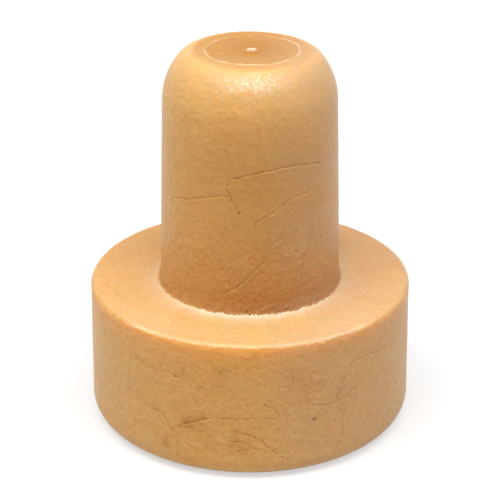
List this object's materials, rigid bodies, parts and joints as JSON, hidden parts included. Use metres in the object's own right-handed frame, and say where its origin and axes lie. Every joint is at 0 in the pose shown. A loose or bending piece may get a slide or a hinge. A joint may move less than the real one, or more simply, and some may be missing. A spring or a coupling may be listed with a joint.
{
  "type": "plastic stopper",
  "caption": "T-shaped moulded bottle stopper with a broad round head and a tapered, round-nosed shank that plugs a bottle neck.",
  "frame": {"origin": "middle of the head's outer face, on which the stopper stands", "axes": "+Z along the shank, from the head's outer face to the shank's end face; the stopper is round about Z"},
  "size_m": [0.0344, 0.0344, 0.0403],
  "materials": {
    "foamed_plastic": "Cork-coloured foamed elastomer with a smooth moulded skin, soft satin gloss and faint flow lines"
  },
  "bodies": {
    "root": {"stopper": "foamed_plastic"}
  },
  "joints": []
}
